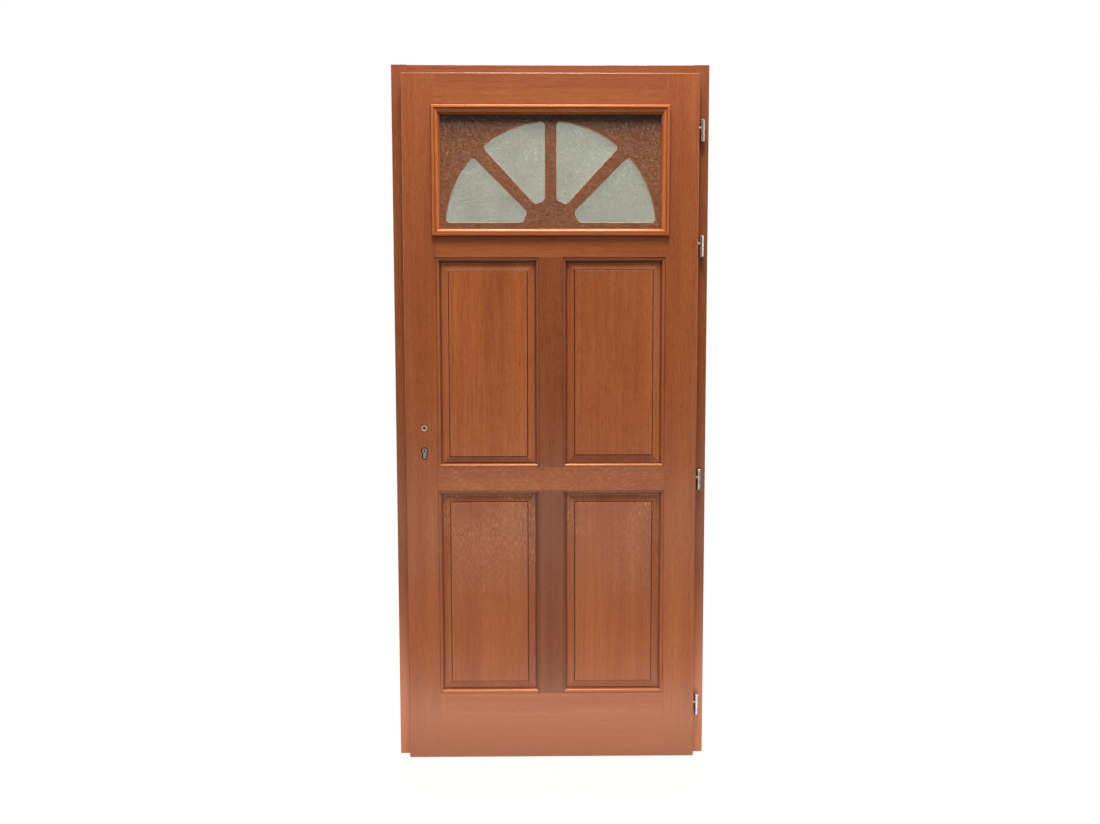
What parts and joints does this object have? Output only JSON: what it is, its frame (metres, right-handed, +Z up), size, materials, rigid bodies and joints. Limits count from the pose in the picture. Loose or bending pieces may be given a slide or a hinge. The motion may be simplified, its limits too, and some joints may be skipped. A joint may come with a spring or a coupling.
{
  "type": "panelled front door with frame",
  "caption": "Rebated hardwood front door in its frame: glazed sunburst light over raised panels, mortise lock with profile cylinder, lift-off barrel hinges.",
  "frame": {"origin": "on the floor, under the middle of the door's width and of its overall depth", "axes": "+X to the hinge side as seen from the room, -Y towards the room, into which the leaf opens, +Z up"},
  "size_m": [0.97, 0.098, 2.156],
  "materials": {
    "hardwood": "stained and varnished, satin",
    "obscure_glass": "textured, translucent",
    "hinge_steel": "nickel-plated, satin",
    "zinc_steel": "zinc-plated",
    "nickel": "nickel-plated brass, satin",
    "brass": "plain, dull",
    "seal_rubber": "matt extruded"
  },
  "bodies": {
    "frame": {"frame_jamb_left": "hardwood", "frame_jamb_right": "hardwood", "frame_head": "hardwood", "frame_seal": "seal_rubber", "strike_plate": "zinc_steel", "strike_screws": "zinc_steel", "hinge_1_frame_half": "hinge_steel", "hinge_2_frame_half": "hinge_steel", "hinge_3_frame_half": "hinge_steel", "hinge_4_frame_half": "hinge_steel"},
    "leaf": {"lock_stile": "hardwood", "hinge_stile": "hardwood", "top_rail": "hardwood", "glazing_rail": "hardwood", "lock_rail": "hardwood", "bottom_rail": "hardwood", "upper_muntin": "hardwood", "lower_muntin": "hardwood", "panel_upper_left": "hardwood", "panel_upper_right": "hardwood", "panel_lower_left": "hardwood", "panel_lower_right": "hardwood", "fan_panel": "hardwood", "glazing_bead_top": "hardwood", "glazing_bead_bottom": "hardwood", "glazing_bead_left": "hardwood", "glazing_bead_right": "hardwood", "lock_case": "zinc_steel", "lock_case_cover": "zinc_steel", "lock_faceplate": "zinc_steel", "faceplate_screws": "zinc_steel", "cylinder_screw": "zinc_steel", "hinge_1_leaf_half": "hinge_steel", "hinge_2_leaf_half": "hinge_steel", "hinge_3_leaf_half": "hinge_steel", "hinge_4_leaf_half": "hinge_steel", "cylinder_body": "nickel", "glass_pane": "obscure_glass"},
    "follower": {"follower": "brass"},
    "latch": {"latch_bolt": "zinc_steel"},
    "plug": {"cylinder_plug": "nickel", "cylinder_cam": "zinc_steel"},
    "bolt": {"dead_bolt": "zinc_steel"}
  },
  "joints": [
    {"name": "leaf_swing", "type": "hinge", "parent": "frame", "child": "leaf", "pos_m": [0.462, -0.024, 0], "axis": [0, 0, 1], "range_deg": [0, 170]},
    {"name": "follower_turn", "type": "hinge", "parent": "leaf", "child": "follower", "pos_m": [-0.392, 0, 1.05], "axis": [0, -1, 0], "range_deg": [0, 30]},
    {"name": "latch_slide", "type": "slide", "parent": "leaf", "child": "latch", "axis": [-1, 0, 0], "range_m": [0, 0.01]},
    {"name": "plug_turn", "type": "hinge", "parent": "leaf", "child": "plug", "pos_m": [-0.392, 0, 0.98], "axis": [0, -1, 0], "range_deg": [0, 360]},
    {"name": "bolt_throw", "type": "slide", "parent": "leaf", "child": "bolt", "axis": [-1, 0, 0], "range_m": [0, 0.014]}
  ],
  "couplings": [
    {"joint": "latch_slide", "follows": "follower_turn", "m_per_rad": 0.01909},
    {"joint": "plug_turn", "follows": "bolt_throw", "rad_per_m": 448.79}
  ]
}
